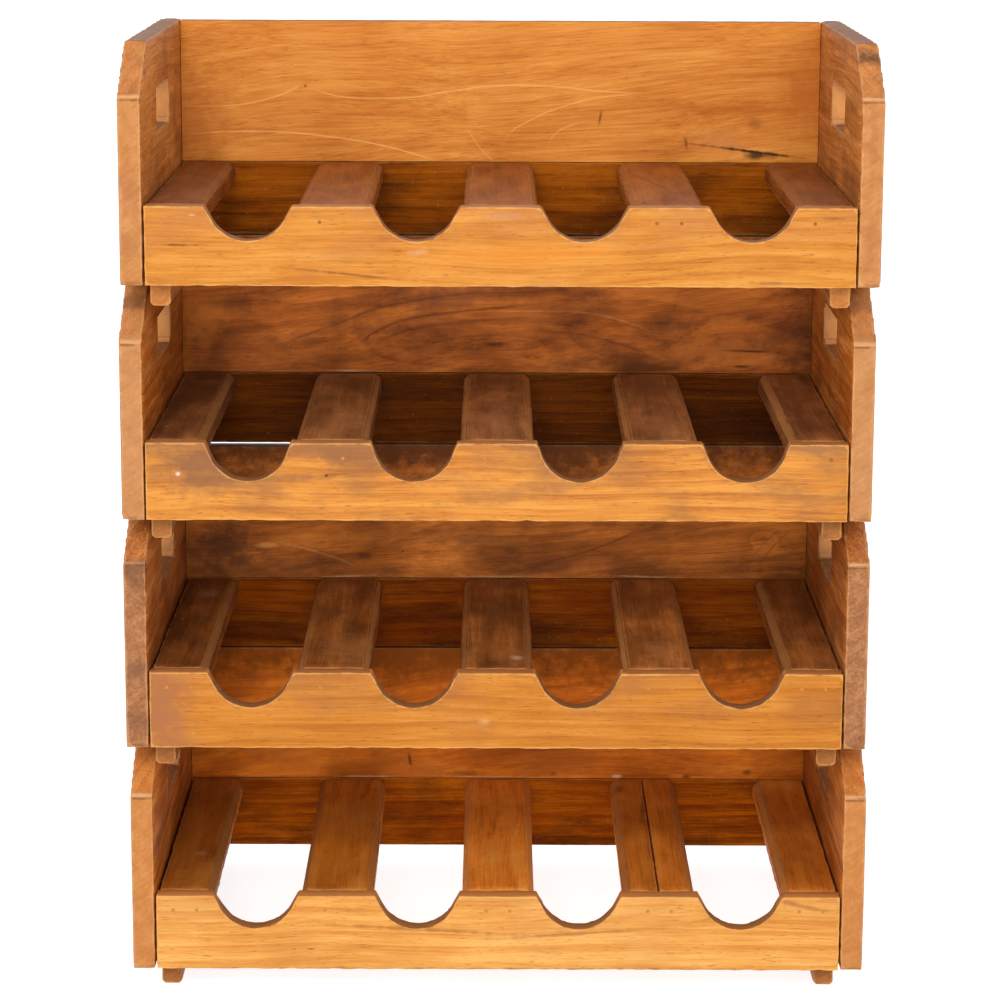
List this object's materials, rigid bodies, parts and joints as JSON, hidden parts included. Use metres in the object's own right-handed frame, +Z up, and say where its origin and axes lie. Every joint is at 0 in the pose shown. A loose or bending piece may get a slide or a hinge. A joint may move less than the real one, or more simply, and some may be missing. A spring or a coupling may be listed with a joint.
{
  "type": "stackable wine rack",
  "caption": "Stack of open-fronted wooden crates with round notches in the front rails and front-to-back slats, for storing wine bottles on their sides.",
  "frame": {"origin": "on the floor, under the middle of the rack's width and depth", "axes": "+Z up; the open, notched front faces -Y; +X to the right as seen from the front"},
  "size_m": [0.562, 0.33, 0.721],
  "materials": {
    "side_boards": "waxed, worn, rough end grain",
    "front_rails": "waxed, satin",
    "back_boards": "waxed, satin",
    "slats": "dark, worn, waxed",
    "cleats": "rough sawn",
    "nails": "dull, lightly rusted"
  },
  "bodies": {
    "crate_1": {"crate_1_left_side": "side_boards", "crate_1_right_side": "side_boards", "crate_1_front_rail": "front_rails", "crate_1_back_rail": "back_boards", "crate_1_back_panel": "back_boards", "crate_1_left_cleat": "cleats", "crate_1_right_cleat": "cleats", "crate_1_slat_nails": "nails", "crate_1_side_nails": "nails", "crate_1_slat_1": "slats", "crate_1_slat_2": "slats", "crate_1_slat_3": "slats", "crate_1_slat_4_left_strip": "slats", "crate_1_slat_4_right_strip": "slats", "crate_1_slat_5": "slats"},
    "crate_2": {"crate_2_left_side": "side_boards", "crate_2_right_side": "side_boards", "crate_2_front_rail": "front_rails", "crate_2_back_rail": "back_boards", "crate_2_back_panel": "back_boards", "crate_2_left_cleat": "cleats", "crate_2_right_cleat": "cleats", "crate_2_slat_nails": "nails", "crate_2_side_nails": "nails", "crate_2_slat_1": "slats", "crate_2_slat_2": "slats", "crate_2_slat_3": "slats", "crate_2_slat_4": "slats", "crate_2_slat_5": "slats"},
    "crate_3": {"crate_3_left_side": "side_boards", "crate_3_right_side": "side_boards", "crate_3_front_rail": "front_rails", "crate_3_back_rail": "back_boards", "crate_3_back_panel": "back_boards", "crate_3_left_cleat": "cleats", "crate_3_right_cleat": "cleats", "crate_3_slat_nails": "nails", "crate_3_side_nails": "nails", "crate_3_slat_1": "slats", "crate_3_slat_2": "slats", "crate_3_slat_3": "slats", "crate_3_slat_4": "slats", "crate_3_slat_5": "slats"},
    "crate_4": {"crate_4_left_side": "side_boards", "crate_4_right_side": "side_boards", "crate_4_front_rail": "front_rails", "crate_4_back_rail": "back_boards", "crate_4_back_panel": "back_boards", "crate_4_left_cleat": "cleats", "crate_4_right_cleat": "cleats", "crate_4_slat_nails": "nails", "crate_4_side_nails": "nails", "crate_4_slat_1": "slats", "crate_4_slat_2": "slats", "crate_4_slat_3": "slats", "crate_4_slat_4": "slats", "crate_4_slat_5": "slats"}
  },
  "joints": [
    {"name": "crate_2_lift", "type": "slide", "parent": "crate_1", "child": "crate_2", "axis": [0, 0, 1], "range_m": [0, 0.08]},
    {"name": "crate_3_lift", "type": "slide", "parent": "crate_2", "child": "crate_3", "axis": [0, 0, 1], "range_m": [0, 0.08]},
    {"name": "crate_4_lift", "type": "slide", "parent": "crate_3", "child": "crate_4", "axis": [0, 0, 1], "range_m": [0, 0.08]}
  ]
}
